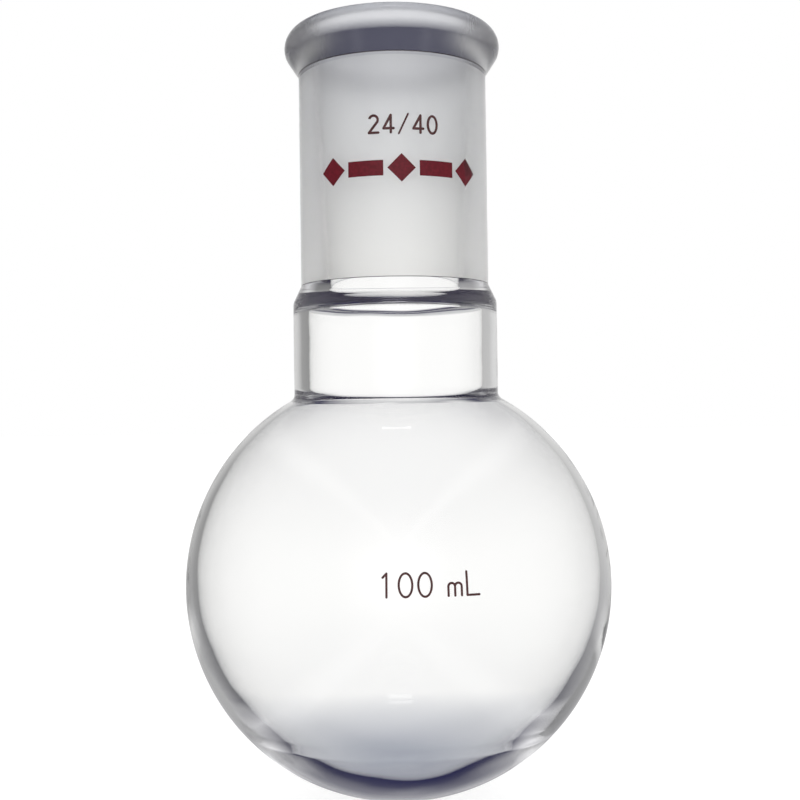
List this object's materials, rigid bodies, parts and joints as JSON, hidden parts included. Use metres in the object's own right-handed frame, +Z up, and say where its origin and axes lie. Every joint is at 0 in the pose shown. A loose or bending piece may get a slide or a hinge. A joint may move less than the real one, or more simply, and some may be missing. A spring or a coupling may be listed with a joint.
{
  "type": "round bottom flask",
  "caption": "Clear glass round bottom flask with a short neck, a frosted standard taper ground socket and a beaded rim.",
  "frame": {"origin": "lowest point of the bulb, on the flask's axis", "axes": "+Z up the flask's axis, out of its mouth; the printed marks face -Y, so +X is on their reader's right"},
  "size_m": [0.064, 0.064, 0.116],
  "materials": {
    "clear_glass": "fire-polished borosilicate glass, clear and smooth on both sides",
    "ground_glass": "borosilicate glass, smooth outside, finely ground and frosted in the bore",
    "brown_enamel": "thin fired ceramic enamel, dark red-brown, semi-gloss",
    "dark_red_enamel": "thin fired ceramic enamel, dark red, semi-gloss"
  },
  "bodies": {
    "root": {"bulb": "clear_glass", "neck_seal_ring": "clear_glass", "neck_tube": "clear_glass", "joint_seal_ring": "clear_glass", "joint_socket": "ground_glass", "rim_bead": "ground_glass", "capacity_mark": "brown_enamel", "joint_size_mark": "brown_enamel", "identification_mark": "dark_red_enamel"}
  },
  "joints": []
}
